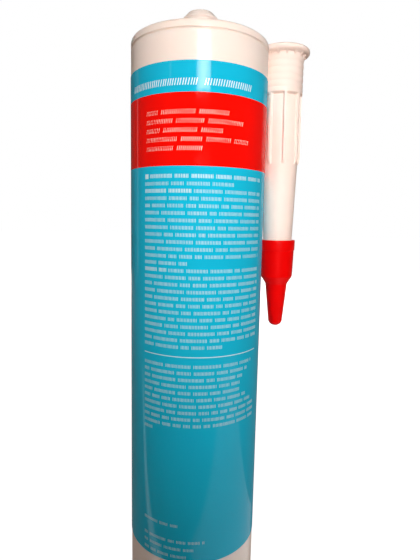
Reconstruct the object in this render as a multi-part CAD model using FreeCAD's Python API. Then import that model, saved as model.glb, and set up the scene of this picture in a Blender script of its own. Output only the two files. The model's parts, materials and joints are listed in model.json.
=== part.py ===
import FreeCAD, Part
import math
import os
from FreeCAD import Vector

# A sealant cartridge that stands on its open rear rim.
# Millimetres, +Z up, the origin at the centre of the rear rim on the barrel's axis.
# The dispensing nozzle is stored beside the barrel, its flange up and its cap down.

# Barrel and label
LABEL_RADIUS = 25.0
FILM_THICKNESS = 0.12
FILM_GAP = 0.03
LABEL_BOTTOM = 28.1
LABEL_BELOW_SHOULDER = 12.7
BARREL_LENGTH = 215.0
BARREL_WALL = 1.6
HEAD_THICKNESS = 2.0
SHOULDER_ROUND = 1.5
RIM_ROUND = 0.5
REAR_LEAD_IN = 0.6
GROOVE_BELOW_SHOULDER = 2.8
GROOVE_WIDTH = 0.9
GROOVE_DEPTH = 0.35
BARREL_RADIUS = LABEL_RADIUS - FILM_THICKNESS - FILM_GAP
BARREL_BORE = BARREL_RADIUS - BARREL_WALL
HEAD_INNER_Z = BARREL_LENGTH - HEAD_THICKNESS
LABEL_TOP = BARREL_LENGTH - LABEL_BELOW_SHOULDER

# Neck, closed at its tip until it is cut for use
ROOT_RADIUS = 7.8
ROOT_HEIGHT = 2.0
ROOT_CHAMFER = 0.25
NECK_HEIGHT = 11.7
NECK_CORE_RADIUS = 6.2
NECK_TIP_RADIUS = 4.2
NECK_TIP_SLOPE = 0.71
NECK_WALL = 1.4
NECK_END_THICKNESS = 1.3
NECK_BORE = NECK_CORE_RADIUS - NECK_WALL
NECK_TOP_Z = BARREL_LENGTH + NECK_HEIGHT
NECK_CONE_Z = NECK_TOP_Z - (NECK_CORE_RADIUS - NECK_TIP_RADIUS) / NECK_TIP_SLOPE
NECK_INNER_TOP_Z = NECK_TOP_Z - NECK_END_THICKNESS
NECK_INNER_TIP_RADIUS = NECK_TIP_RADIUS - NECK_WALL

# Thread on the neck
THREAD_PITCH = 2.5
THREAD_DEPTH = 0.7
THREAD_ROOT_WIDTH = 1.5
THREAD_CREST_WIDTH = 0.7
THREAD_SINK = 0.15
THREAD_END_MARGIN = 0.3
THREAD_CREST = NECK_CORE_RADIUS + THREAD_DEPTH

# Piston, a sliding fit in the barrel
PISTON_CLEARANCE = 0.08
PISTON_RECESS = 12.0
PISTON_HEIGHT = 18.0
PISTON_WALL = 1.8
PISTON_LIP_HEIGHT = 3.0
PISTON_LIP_DEPTH = 0.6
PISTON_WEB = 2.4
PISTON_CONE = 2.0
PISTON_RIBS = 6
PISTON_RIB_THICKNESS = 1.2
PISTON_RIB_DEPTH = 2.5
PISTON_RADIUS = BARREL_BORE - PISTON_CLEARANCE
PISTON_TOP_Z = PISTON_RECESS + PISTON_HEIGHT
PISTON_APEX_Z = PISTON_TOP_Z + PISTON_CONE

# Sealant that fills the barrel ahead of the piston
SEALANT_GAP = 0.05
SEALANT_PISTON_GAP = 0.3

# Nozzle, measured along its own axis from the top of its flange
FLANGE_RADIUS = 10.4
FLANGE_THICKNESS = 2.2
FLANGE_ROUND = 1.0
COLLAR_RADIUS = 8.25
COLLAR_TAPER = 0.04
COLLAR_LENGTH = 14.3
RING_COUNT = 5
RING_PITCH = 2.4
RING_DEPTH = 0.3
RING_START = 0.6
GUSSET_COUNT = 16
GUSSET_REACH = 1.0
GUSSET_HEIGHT = 1.2
GUSSET_THICKNESS = 0.8
FIN_COUNT = 8
FIN_RADIUS = 8.0
FIN_THICKNESS = 1.1
FIN_LENGTH = 26.5
FIN_END_DROP = 3.0
FIN_AZIMUTH = -88.0
RIB_SINK = 0.4
CONE_TOP_RADIUS = 6.95
CONE_TAPER = 0.0404
CONE_LENGTH = 43.5
STEP_LENGTH = 1.8
TIP_BASE_RADIUS = 3.2
TIP_LENGTH = 16.2
TIP_RADIUS = 1.9
NOZZLE_WALL = 1.1
TIP_WALL = 1.0
SOCKET_CLEARANCE = 0.2
SOCKET_LENGTH = 13.0
SOCKET_RADIUS = THREAD_CREST + SOCKET_CLEARANCE
COLLAR_END = FLANGE_THICKNESS + COLLAR_LENGTH
COLLAR_END_RADIUS = COLLAR_RADIUS - COLLAR_TAPER * RING_COUNT
FIN_END = COLLAR_END + FIN_LENGTH
CONE_END = FIN_END + CONE_LENGTH
CONE_END_RADIUS = CONE_TOP_RADIUS - CONE_TAPER * CONE_LENGTH
TIP_START = CONE_END + STEP_LENGTH
TIP_END = TIP_START + TIP_LENGTH

# Cap, a push fit over the nozzle's lower cone and tip
CAP_START = 72.7
CAP_CLEARANCE = 0.08
CAP_END_CLEARANCE = 0.3
CAP_WALL = 1.27
CAP_BAND_LENGTH = 4.0
CAP_BAND_TAPER = 0.1
CAP_BAND_STEP = 0.08
CAP_SKIRT_TAPER = 0.052
CAP_SKIRT_LENGTH = 14.8
CAP_CHAMFER_LENGTH = 3.1
CAP_SPOUT_WALL = 1.22
CAP_TIP_WALL = 0.95
CAP_END_THICKNESS = 3.4
CAP_DOME_LENGTH = 1.9
CAP_DOME_FLAT = 0.9

# Where the nozzle is stored
STORE_GAP = 0.3
STORE_AZIMUTH = 17.0
STORE_LEAN = 0.7
FLANGE_SEAT_GAP = 0.3
STORE_DISTANCE = BARREL_RADIUS + COLLAR_RADIUS + STORE_GAP
FLANGE_DIP = FLANGE_RADIUS * math.sin(math.radians(STORE_LEAN))
FLANGE_TOP_Z = BARREL_LENGTH + FLANGE_SEAT_GAP + FLANGE_DIP + FLANGE_THICKNESS

# Dots of glue that hold the nozzle to the barrel, on the side away from the front
GLUE_RADIUS = 2.6
GLUE_SIDE_OFFSET = 3.4
GLUE_AT_COLLAR = 9.0
GLUE_AT_CONE = 52.0

UP = Vector(0, 0, 1)
ORIGIN = Vector(0, 0, 0)


def point(radius, height):
    """A point of a turned outline, in the plane that the outline is drawn in."""
    return Vector(radius, 0, height)


def line(start, end):
    """A straight edge of an outline."""
    return Part.LineSegment(start, end).toShape()


def arc(start, middle, end):
    """An arc of an outline through three points."""
    return Part.Arc(start, middle, end).toShape()


def round_corner(start, corner, end):
    """A rounded edge from start to end that bulges towards corner, as a quarter circle or ellipse does."""
    centre = start + end - corner
    middle = centre + (corner - centre) * (1 / math.sqrt(2))
    return arc(start, middle, end)


def path_edges(points):
    """Straight edges that join the points in order."""
    return [line(a, b) for a, b in zip(points, points[1:])]


def turned(edges):
    """The solid that a closed outline sweeps in one turn about Z."""
    face = Part.Face(Part.Wire(edges))
    return face.revolve(ORIGIN, UP, 360)


def turned_polygon(points):
    """A turned solid whose outline has straight edges alone."""
    return turned(path_edges(points + [points[0]]))


# Barrel
def barrel_outer_edges():
    """The outside of the barrel, from the rear rim's inner edge to the neck's root."""
    groove_z = BARREL_LENGTH - GROOVE_BELOW_SHOULDER
    lead_in = point(BARREL_BORE + REAR_LEAD_IN, 0)
    rim_in = point(BARREL_RADIUS - RIM_ROUND, 0)
    rim_out = point(BARREL_RADIUS, RIM_ROUND)
    groove_low = point(BARREL_RADIUS, groove_z - GROOVE_WIDTH / 2)
    groove_floor = point(BARREL_RADIUS - GROOVE_DEPTH, groove_z)
    groove_high = point(BARREL_RADIUS, groove_z + GROOVE_WIDTH / 2)
    shoulder_low = point(BARREL_RADIUS, BARREL_LENGTH - SHOULDER_ROUND)
    shoulder_top = point(BARREL_RADIUS - SHOULDER_ROUND, BARREL_LENGTH)
    return [
        line(lead_in, rim_in),
        round_corner(rim_in, point(BARREL_RADIUS, 0), rim_out),
        line(rim_out, groove_low),
        arc(groove_low, groove_floor, groove_high),
        line(groove_high, shoulder_low),
        round_corner(shoulder_low, point(BARREL_RADIUS, BARREL_LENGTH), shoulder_top),
        line(shoulder_top, point(ROOT_RADIUS, BARREL_LENGTH)),
    ]


def neck_and_inner_edges():
    """The neck's outside, then the neck's and the barrel's inside down to the rear rim."""
    root_z = BARREL_LENGTH + ROOT_HEIGHT
    return path_edges([
        point(ROOT_RADIUS, BARREL_LENGTH),
        point(ROOT_RADIUS, root_z - ROOT_CHAMFER),
        point(ROOT_RADIUS - ROOT_CHAMFER, root_z),
        point(NECK_CORE_RADIUS, root_z),
        point(NECK_CORE_RADIUS, NECK_CONE_Z),
        point(NECK_TIP_RADIUS, NECK_TOP_Z),
        point(0, NECK_TOP_Z),
        point(0, NECK_INNER_TOP_Z),
        point(NECK_INNER_TIP_RADIUS, NECK_INNER_TOP_Z),
        point(NECK_BORE, NECK_CONE_Z),
        point(NECK_BORE, HEAD_INNER_Z),
        point(BARREL_BORE, HEAD_INNER_Z),
        point(BARREL_BORE, REAR_LEAD_IN),
        point(BARREL_BORE + REAR_LEAD_IN, 0),
    ])


def neck_thread():
    """The helical ridge that the nozzle screws on to."""
    start_z = BARREL_LENGTH + ROOT_HEIGHT + THREAD_END_MARGIN + THREAD_ROOT_WIDTH / 2
    end_z = NECK_CONE_Z - THREAD_END_MARGIN - THREAD_ROOT_WIDTH / 2
    helix = Part.makeHelix(THREAD_PITCH, end_z - start_z, NECK_CORE_RADIUS)
    section = Part.makePolygon([
        point(NECK_CORE_RADIUS - THREAD_SINK, -THREAD_ROOT_WIDTH / 2),
        point(THREAD_CREST, -THREAD_CREST_WIDTH / 2),
        point(THREAD_CREST, THREAD_CREST_WIDTH / 2),
        point(NECK_CORE_RADIUS - THREAD_SINK, THREAD_ROOT_WIDTH / 2),
        point(NECK_CORE_RADIUS - THREAD_SINK, -THREAD_ROOT_WIDTH / 2),
    ])
    ridge = Part.Wire(helix).makePipeShell([section], True, True)
    ridge.translate(Vector(0, 0, start_z))
    return ridge


def barrel():
    """The blown barrel with its flat head and threaded, closed neck."""
    body = turned(barrel_outer_edges() + neck_and_inner_edges())
    return body.fuse(neck_thread())


def label():
    """The printed film that is wrapped once round the barrel."""
    inner = BARREL_RADIUS + FILM_GAP
    return turned_polygon([
        point(inner, LABEL_BOTTOM),
        point(LABEL_RADIUS, LABEL_BOTTOM),
        point(LABEL_RADIUS, LABEL_TOP),
        point(inner, LABEL_TOP),
    ])


# Piston and sealant
def piston_shell():
    """The piston's skirt, its two sealing lips and its coned front wall."""
    body_radius = PISTON_RADIUS - PISTON_LIP_DEPTH
    hollow_radius = body_radius - PISTON_WALL
    low_lip_z = PISTON_RECESS + PISTON_LIP_HEIGHT
    high_lip_z = PISTON_TOP_Z - PISTON_LIP_DEPTH
    return turned_polygon([
        point(hollow_radius, PISTON_RECESS),
        point(PISTON_RADIUS - PISTON_LIP_DEPTH, PISTON_RECESS),
        point(PISTON_RADIUS, PISTON_RECESS + PISTON_LIP_DEPTH),
        point(PISTON_RADIUS, low_lip_z - PISTON_LIP_DEPTH),
        point(body_radius, low_lip_z),
        point(body_radius, high_lip_z - PISTON_LIP_HEIGHT),
        point(PISTON_RADIUS, high_lip_z - PISTON_LIP_HEIGHT + PISTON_LIP_DEPTH),
        point(PISTON_RADIUS, high_lip_z),
        point(body_radius, PISTON_TOP_Z),
        point(0, PISTON_APEX_Z),
        point(0, PISTON_APEX_Z - PISTON_WEB),
        point(hollow_radius, PISTON_TOP_Z - PISTON_WEB),
    ])


def piston():
    """The piston with the stiffening ribs in its hollow rear."""
    hollow_radius = PISTON_RADIUS - PISTON_LIP_DEPTH - PISTON_WALL
    roof_z = PISTON_TOP_Z - PISTON_WEB
    rib_reach = hollow_radius + PISTON_WALL / 2
    rib_height = PISTON_RIB_DEPTH + PISTON_WEB / 2
    ribs = []
    for index in range(PISTON_RIBS):
        rib = Part.makeBox(rib_reach, PISTON_RIB_THICKNESS, rib_height,
                           Vector(0, -PISTON_RIB_THICKNESS / 2, roof_z - PISTON_RIB_DEPTH))
        rib.rotate(ORIGIN, UP, index * 360 / PISTON_RIBS)
        ribs.append(rib)
    return piston_shell().fuse(ribs).removeSplitter()


def sealant():
    """The sealant between the piston's front and the neck's closed tip."""
    radius = BARREL_BORE - SEALANT_GAP
    neck_radius = NECK_BORE - SEALANT_GAP
    body_radius = PISTON_RADIUS - PISTON_LIP_DEPTH
    front_z = PISTON_TOP_Z + SEALANT_PISTON_GAP
    return turned_polygon([
        point(0, PISTON_APEX_Z + SEALANT_PISTON_GAP),
        point(body_radius, front_z),
        point(radius, front_z),
        point(radius, HEAD_INNER_Z - SEALANT_GAP),
        point(neck_radius, HEAD_INNER_Z - SEALANT_GAP),
        point(neck_radius, NECK_CONE_Z - SEALANT_GAP),
        point(NECK_INNER_TIP_RADIUS - SEALANT_GAP, NECK_INNER_TOP_Z - SEALANT_GAP),
        point(0, NECK_INNER_TOP_Z - SEALANT_GAP),
    ])


# Nozzle and cap, drawn with the flange's top at height 0 and the tip below it
def cone_radius(distance):
    """The nozzle cone's outer radius at a distance below the flange's top."""
    return CONE_TOP_RADIUS - CONE_TAPER * (distance - FIN_END)


def collar_edges():
    """The collar under the flange, with its soft rings."""
    ring_start = FLANGE_THICKNESS + RING_START
    valley = COLLAR_RADIUS - RING_DEPTH
    edges = [line(point(valley, -FLANGE_THICKNESS), point(valley, -ring_start))]
    for index in range(RING_COUNT):
        low_valley = valley - COLLAR_TAPER * (index + 1)
        crest = COLLAR_RADIUS - COLLAR_TAPER * (index + 0.5)
        top = ring_start + RING_PITCH * index
        edges.append(arc(
            point(valley - COLLAR_TAPER * index, -top),
            point(crest, -top - RING_PITCH / 2),
            point(low_valley, -top - RING_PITCH),
        ))
    last_z = -ring_start - RING_PITCH * RING_COUNT
    last_valley = valley - COLLAR_TAPER * RING_COUNT
    edges += path_edges([
        point(last_valley, last_z),
        point(COLLAR_END_RADIUS, last_z),
        point(COLLAR_END_RADIUS, -COLLAR_END),
        point(CONE_TOP_RADIUS, -COLLAR_END),
    ])
    return edges


def nozzle_shell():
    """The nozzle's turned form: flange, collar, core, long cone, fine tip and bore."""
    flange_top = point(FLANGE_RADIUS - FLANGE_ROUND, 0)
    flange_high = point(FLANGE_RADIUS, -FLANGE_ROUND)
    flange_low = point(FLANGE_RADIUS, FLANGE_ROUND - FLANGE_THICKNESS)
    flange_under = point(FLANGE_RADIUS - FLANGE_ROUND, -FLANGE_THICKNESS)
    edges = [
        line(point(SOCKET_RADIUS, 0), flange_top),
        round_corner(flange_top, point(FLANGE_RADIUS, 0), flange_high),
        line(flange_high, flange_low),
        round_corner(flange_low, point(FLANGE_RADIUS, -FLANGE_THICKNESS), flange_under),
        line(flange_under, point(COLLAR_RADIUS - RING_DEPTH, -FLANGE_THICKNESS)),
    ]
    edges += collar_edges()
    edges += path_edges([
        point(CONE_TOP_RADIUS, -COLLAR_END),
        point(CONE_TOP_RADIUS, -FIN_END),
        point(CONE_END_RADIUS, -CONE_END),
        point(TIP_BASE_RADIUS, -TIP_START),
        point(TIP_RADIUS, -TIP_END),
        point(TIP_RADIUS - TIP_WALL, -TIP_END),
        point(TIP_BASE_RADIUS - NOZZLE_WALL, -TIP_START),
        point(CONE_END_RADIUS - NOZZLE_WALL, -CONE_END),
        point(CONE_TOP_RADIUS - NOZZLE_WALL, -COLLAR_END),
        point(SOCKET_RADIUS, -SOCKET_LENGTH),
        point(SOCKET_RADIUS, 0),
    ])
    return turned(edges)


def gusset():
    """One small web between the flange's underside and the collar."""
    inner = COLLAR_RADIUS - RING_DEPTH - RIB_SINK
    outer = COLLAR_RADIUS + GUSSET_REACH
    top = RIB_SINK - FLANGE_THICKNESS
    foot = -FLANGE_THICKNESS - GUSSET_HEIGHT
    outline = Part.makePolygon([
        point(inner, top),
        point(outer, top),
        point(outer, -FLANGE_THICKNESS),
        point(COLLAR_RADIUS - RING_DEPTH, foot),
        point(inner, foot),
        point(inner, top),
    ])
    web = Part.Face(outline).extrude(Vector(0, GUSSET_THICKNESS, 0))
    web.translate(Vector(0, -GUSSET_THICKNESS / 2, 0))
    return web


def fin():
    """One grip fin under the collar, its lower end curving in to the core."""
    inner = CONE_TOP_RADIUS - RIB_SINK
    top = RIB_SINK - COLLAR_END
    drop_start = point(FIN_RADIUS, FIN_END_DROP - FIN_END)
    drop_end = point(CONE_TOP_RADIUS, -FIN_END)
    edges = path_edges([
        drop_end,
        point(inner, -FIN_END),
        point(inner, top),
        point(FIN_RADIUS, top),
        drop_start,
    ])
    edges.append(round_corner(drop_start, point(FIN_RADIUS, -FIN_END), drop_end))
    web = Part.Face(Part.Wire(edges)).extrude(Vector(0, FIN_THICKNESS, 0))
    web.translate(Vector(0, -FIN_THICKNESS / 2, 0))
    return web


def around(piece, count):
    """Copies of a piece, evenly spaced round Z from the fins' first azimuth."""
    copies = []
    for index in range(count):
        copy = piece.copy()
        copy.rotate(ORIGIN, UP, FIN_AZIMUTH + index * 360 / count)
        copies.append(copy)
    return copies


def nozzle():
    """The nozzle as one moulding, in its own frame."""
    return nozzle_shell().fuse(around(gusset(), GUSSET_COUNT) + around(fin(), FIN_COUNT))


def cap():
    """The closed cap over the nozzle's lower end, in the nozzle's frame."""
    rim_radius = cone_radius(CAP_START) + CAP_CLEARANCE + CAP_WALL
    band_end = CAP_START + CAP_BAND_LENGTH
    band_radius = rim_radius - CAP_BAND_TAPER
    skirt_radius = band_radius - CAP_BAND_STEP
    skirt_end = CAP_START + CAP_SKIRT_LENGTH
    skirt_end_radius = skirt_radius - CAP_SKIRT_TAPER * (skirt_end - band_end)
    spout_start = skirt_end + CAP_CHAMFER_LENGTH
    spout_radius = TIP_BASE_RADIUS + CAP_SPOUT_WALL
    inner_end = TIP_END + CAP_END_CLEARANCE
    outer_end = inner_end + CAP_END_THICKNESS
    dome_start = outer_end - CAP_DOME_LENGTH
    spout_end_radius = TIP_RADIUS + CAP_TIP_WALL
    dome_edge = point(spout_end_radius, -dome_start)
    dome_flat = point(CAP_DOME_FLAT, -outer_end)
    edges = path_edges([
        point(cone_radius(CAP_START) + CAP_CLEARANCE, -CAP_START),
        point(rim_radius, -CAP_START),
        point(band_radius, -band_end),
        point(skirt_radius, -band_end - CAP_BAND_STEP),
        point(skirt_end_radius, -skirt_end),
        point(spout_radius, -spout_start),
        dome_edge,
    ])
    edges.append(round_corner(dome_edge, point(spout_end_radius, -outer_end), dome_flat))
    edges += path_edges([
        dome_flat,
        point(0, -outer_end),
        point(0, -inner_end),
        point(TIP_RADIUS + CAP_CLEARANCE, -inner_end),
        point(TIP_BASE_RADIUS + CAP_CLEARANCE, -TIP_START - CAP_END_CLEARANCE),
        point(CONE_END_RADIUS + CAP_CLEARANCE, -CONE_END - CAP_END_CLEARANCE),
        point(cone_radius(CAP_START) + CAP_CLEARANCE, -CAP_START),
    ])
    return turned(edges)


# Storage place beside the barrel
def stored_axis():
    """The flange-top centre of the stored nozzle and its direction towards the tip."""
    azimuth = math.radians(STORE_AZIMUTH)
    outward = Vector(math.cos(azimuth), math.sin(azimuth), 0)
    lean = math.radians(STORE_LEAN)
    start = outward * STORE_DISTANCE + UP * FLANGE_TOP_Z
    direction = outward * math.sin(lean) - UP * math.cos(lean)
    return start, direction


def stored(piece):
    """A piece from the nozzle's own frame, leaned and moved to its storage place."""
    start, direction = stored_axis()
    moved = piece.copy()
    moved.rotate(ORIGIN, direction.cross(UP), STORE_LEAN)
    moved.translate(start)
    return moved


def nozzle_core(start, end, start_radius, end_radius):
    """A plain tapered core of the stored nozzle between two distances below its flange's top."""
    return stored(turned_polygon([
        point(0, -start),
        point(start_radius, -start),
        point(end_radius, -end),
        point(0, -end),
    ]))


def glue_dot(distance, wall_radius, nozzle_radius, core):
    """A ball of set glue in the notch between barrel and nozzle, cut to the two walls."""
    start, direction = stored_axis()
    on_axis = start + direction * distance
    away = Vector(on_axis.x, on_axis.y, 0)
    outward = away * (1 / away.Length)
    behind = UP.cross(outward)
    middle = (wall_radius + away.Length - nozzle_radius) / 2
    centre = outward * middle + behind * GLUE_SIDE_OFFSET + UP * on_axis.z
    ball = Part.makeSphere(GLUE_RADIUS, centre)
    return ball.cut(Part.makeCylinder(wall_radius, BARREL_LENGTH)).cut(core)


def glue_dots():
    """The two dots of glue, at the collar and on the cone, as a group of separate solids."""
    collar = nozzle_core(FLANGE_THICKNESS, COLLAR_END, COLLAR_RADIUS, COLLAR_RADIUS)
    cone = nozzle_core(FIN_END, CAP_START, CONE_TOP_RADIUS, cone_radius(CAP_START))
    return Part.makeCompound([
        glue_dot(GLUE_AT_COLLAR, BARREL_RADIUS, COLLAR_RADIUS, collar),
        glue_dot(GLUE_AT_CONE, LABEL_RADIUS, cone_radius(GLUE_AT_CONE), cone),
    ])


def save(name, shape):
    """Write one piece to its file and report its volume."""
    shape.exportStep(os.path.join("parts", name + ".step"))
    box = shape.BoundBox
    print(f"{name:16s} solids {len(shape.Solids)} valid {shape.isValid()} volume {shape.Volume:10.1f} "
          f"x {box.XMin:7.2f} {box.XMax:7.2f} y {box.YMin:7.2f} {box.YMax:7.2f} "
          f"z {box.ZMin:7.2f} {box.ZMax:7.2f}")


def main():
    """Build every piece and write it to its own file."""
    os.makedirs("parts", exist_ok=True)
    save("barrel", barrel())
    save("label", label())
    save("sealant", sealant())
    save("piston", piston())
    save("nozzle", stored(nozzle()))
    save("nozzle_cap", stored(cap()))
    save("glue_dots", glue_dots())
    start, direction = stored_axis()
    print("stored axis start", start, "direction", direction)
    print("piston travel", HEAD_INNER_Z - PISTON_APEX_Z, "sealant fixed end", HEAD_INNER_Z)


main()
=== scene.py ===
"""Looks of a sealant cartridge that stands on its rear rim, its capped nozzle stored beside it.

Lengths in the size classes are millimetres, as on a drawing, and every mesh is built in metres in the
row's frame: +Z up along the barrel, +X towards the stored nozzle, -Y towards the front of the label.
"""
import json
import logging
import math
from dataclasses import dataclass, replace
from enum import Enum
from typing import Any, NamedTuple, Sequence

import bpy
import numpy as np
from bpy.types import ID, Material, Node, NodeSocket, NodeTree, Object, World
from mathutils import Matrix, Vector


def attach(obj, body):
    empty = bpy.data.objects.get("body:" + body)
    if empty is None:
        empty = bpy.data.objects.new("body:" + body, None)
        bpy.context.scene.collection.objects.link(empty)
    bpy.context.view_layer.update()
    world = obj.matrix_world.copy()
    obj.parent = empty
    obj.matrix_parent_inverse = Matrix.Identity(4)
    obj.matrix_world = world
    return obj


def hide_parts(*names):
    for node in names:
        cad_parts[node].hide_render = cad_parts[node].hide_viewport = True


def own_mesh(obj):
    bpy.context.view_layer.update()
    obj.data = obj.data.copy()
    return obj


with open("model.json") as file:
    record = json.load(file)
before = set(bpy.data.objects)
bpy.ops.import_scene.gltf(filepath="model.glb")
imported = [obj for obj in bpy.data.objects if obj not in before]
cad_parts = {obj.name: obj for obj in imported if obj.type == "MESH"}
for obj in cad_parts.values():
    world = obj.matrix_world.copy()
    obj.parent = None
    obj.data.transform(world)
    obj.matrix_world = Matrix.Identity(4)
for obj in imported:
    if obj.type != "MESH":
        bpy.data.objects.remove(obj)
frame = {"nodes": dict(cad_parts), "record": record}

Pair = tuple[float, float]
Triple = tuple[float, float, float]

LOG = logging.getLogger("cartridge")
MM = 0.001
PRINT_SEED = 41
FULL_TURN = 360.0


# Bodies and slots of the frame
class Body(Enum):
    """The CAD bodies that pieces ride on."""

    CARTRIDGE = "cartridge"
    CAP = "cap"


class Slot(Enum):
    """The record's material slots."""

    BARREL = "barrel_plastic"
    FILM = "label_film"
    SEALANT = "sealant_paste"
    NOZZLE = "nozzle_plastic"
    CAP = "cap_plastic"


# Finishes
@dataclass(frozen=True)
class Finish:
    """One real material, as colour, gloss and surface grain.

    Args:
        name: the real material's name.
        colour: main colour, sRGB hex.
        shade: second colour that the main one drifts towards, sRGB hex.
        drift_mm: length over which the colour drifts.
        roughness: least and most roughness.
        grain_mm: length of the surface grain.
        bump_mm: height of the surface grain.
        wave_mm: length of the slow surface waves.
        wave_bump_mm: height of the slow surface waves.
        stretch: how far the slow waves are drawn out along x, y and z.
        coat: weight of the clear varnish or skin gloss.
        coat_roughness: roughness of that coat.
        subsurface: share of light that goes into the material.
        scatter_mm: how far red, green and blue light goes in the material.
        reflection: the shader's specular level, 0.5 for a clean polished face.
    """

    name: str
    colour: str
    shade: str
    drift_mm: float
    roughness: Pair
    grain_mm: float
    bump_mm: float
    wave_mm: float = 18.0
    wave_bump_mm: float = 0.0
    stretch: Triple = (1.0, 1.0, 1.0)
    coat: float = 0.0
    coat_roughness: float = 0.1
    subsurface: float = 0.0
    scatter_mm: Triple = (1.0, 1.0, 1.0)
    reflection: float = 0.3


# Blow-moulded polyethylene: a warm white with a soft gloss and faint draw lines along the barrel.
WHITE_POLYETHYLENE = Finish(
    "polyethylene_white", "#FAEFE8", "#F6E4D9", 30.0, (0.28, 0.38), 0.9, 0.004,
    wave_mm=9.0, wave_bump_mm=0.02, stretch=(1.0, 1.0, 6.0), coat=0.35, coat_roughness=0.10,
    subsurface=0.3, scatter_mm=(3.5, 2.6, 2.2))
# Varnished plastic film: cyan print under a clear gloss, with the slow waves of a wrapped film.
CYAN_FILM = Finish(
    "printed_film_cyan", "#14C0E4", "#12B2D8", 40.0, (0.20, 0.28), 0.5, 0.001,
    wave_mm=7.0, wave_bump_mm=0.04, stretch=(1.0, 1.0, 12.0), coat=0.4, coat_roughness=0.05,
    reflection=0.0)
# The same film where red ink covers it, a little deeper under the varnish.
RED_FILM = replace(CYAN_FILM, name="printed_film_red", colour="#FA0C00", shade="#EC0500", drift_mm=35.0)
# White print ink: opaque, a little less glossy than the varnish round it.
WHITE_INK = Finish(
    "ink_white", "#F4FAFC", "#DCEEF4", 6.0, (0.35, 0.5), 0.3, 0.0008, coat=0.4, coat_roughness=0.15)
# The thin print of the small lines, which lets some of the cyan through.
PALE_INK = replace(WHITE_INK, name="ink_pale", colour="#D5EFF6", shade="#B9E2EE", drift_mm=5.0)
# Warm white print on the red band.
PINK_INK = replace(PALE_INK, name="ink_pink_white", colour="#FFE3D8", shade="#FAD0C4")
# Natural low-density polyethylene: a milky cream that lets light in, satin, with fine mould grain.
NATURAL_POLYETHYLENE = Finish(
    "polyethylene_natural", "#FCEEE6", "#F7E3D9", 16.0, (0.28, 0.42), 0.35, 0.004,
    wave_mm=6.0, wave_bump_mm=0.01, stretch=(1.0, 1.0, 3.0), coat=0.3, coat_roughness=0.12,
    subsurface=0.12, scatter_mm=(1.5, 1.2, 1.0))
# Red moulded polyethylene: deep red, satin, its skin a little glossier than its grain.
RED_POLYETHYLENE = Finish(
    "polyethylene_red", "#F60202", "#E60000", 12.0, (0.30, 0.44), 0.4, 0.004,
    wave_mm=5.0, wave_bump_mm=0.008, stretch=(1.0, 1.0, 3.0), coat=0.08, coat_roughness=0.22,
    subsurface=0.1, scatter_mm=(1.5, 0.3, 0.2), reflection=0.1)
# Matt moulded polyethylene of the piston, with a coarse spark-eroded grain.
MATT_POLYETHYLENE = Finish(
    "polyethylene_matt", "#E8E3D8", "#DAD3C5", 10.0, (0.5, 0.66), 0.6, 0.012,
    subsurface=0.1, scatter_mm=(1.6, 1.3, 1.0))
# Sealant paste: soft, wet-looking white with slow folds.
SEALANT_PASTE = Finish(
    "sealant_paste", "#F3F2EE", "#E6E4DD", 12.0, (0.2, 0.34), 1.5, 0.03,
    wave_mm=8.0, wave_bump_mm=0.15, coat=0.3, coat_roughness=0.1, subsurface=0.3,
    scatter_mm=(2.0, 1.8, 1.6))
# Set hot-melt glue: milky amber, glossy, with flow waves.
HOT_MELT = Finish(
    "glue_hot_melt", "#E6DDC2", "#D8CBA6", 2.0, (0.14, 0.26), 0.8, 0.02,
    wave_mm=2.5, wave_bump_mm=0.05, coat=0.4, coat_roughness=0.06, subsurface=0.5,
    scatter_mm=(2.5, 2.0, 1.0))

WHITE = "#FFFFFF"
PLASTIC_IOR = 1.5
# Octaves of the patterns for colour drift, surface grain and slow waves
DRIFT_DETAIL = 2.0
GRAIN_DETAIL = 3.0
WAVE_DETAIL = 1.0
# Grain lengths in a patch of even gloss, and the values that most of a pattern lies between
GLOSS_PATCH = 4
PATTERN_SPAN = (0.25, 0.75)


def linear_rgb(hex_colour: str) -> Triple:
    """Turns a colour "#RRGGBB" into linear light from 0 to 1, by the sRGB standard's curve."""
    values = [int(hex_colour[start:start + 2], 16) / 255 for start in (1, 3, 5)]
    return tuple(value / 12.92 if value <= 0.04045 else ((value + 0.055) / 1.055) ** 2.4
                 for value in values)


def empty_tree(owner: Material | World) -> NodeTree:
    """Gives a material or world an empty node tree."""
    owner.use_nodes = True
    owner.node_tree.nodes.clear()
    return owner.node_tree


def add_node(tree: NodeTree, kind: str, inputs: dict[Any, Any] | None = None, **settings: Any) -> Node:
    """Adds a shader node, sets its options, and sets or links its inputs.

    Args:
        tree: the node tree.
        kind: the node's type name after its common start, ShaderNode.
        inputs: values or output sockets, by the input's name or number.
        settings: the node's own options.

    Returns:
        The new node.
    """
    node = tree.nodes.new("ShaderNode" + kind)
    for key, value in settings.items():
        setattr(node, key, value)
    for key, value in (inputs or {}).items():
        if isinstance(value, NodeSocket):
            tree.links.new(value, node.inputs[key])
        else:
            node.inputs[key].default_value = value
    return node


def mixed(tree: NodeTree, share: NodeSocket, first: str, second: str) -> NodeSocket:
    """Adds a mix of two hex colours: the first where the share is 0, the second where it is 1."""
    colours = {number: (*linear_rgb(colour), 1.0) for number, colour in ((6, first), (7, second))}
    return add_node(tree, "Mix", {0: share, **colours}, data_type="RGBA").outputs[2]


def combined(tree: NodeTree, operation: str, first: NodeSocket, second: NodeSocket | float) -> NodeSocket:
    """Adds a maths node, such as MULTIPLY or MAXIMUM, on two values."""
    return add_node(tree, "Math", {0: first, 1: second}, operation=operation).outputs[0]


def mapped(tree: NodeTree, value: NodeSocket, source: Pair, target: Pair) -> NodeSocket:
    """Adds a node that carries a value from one range over to another and keeps it in there."""
    return add_node(tree, "MapRange", {
        "Value": value, "From Min": source[0], "From Max": source[1],
        "To Min": target[0], "To Max": target[1]}).outputs[0]


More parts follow.
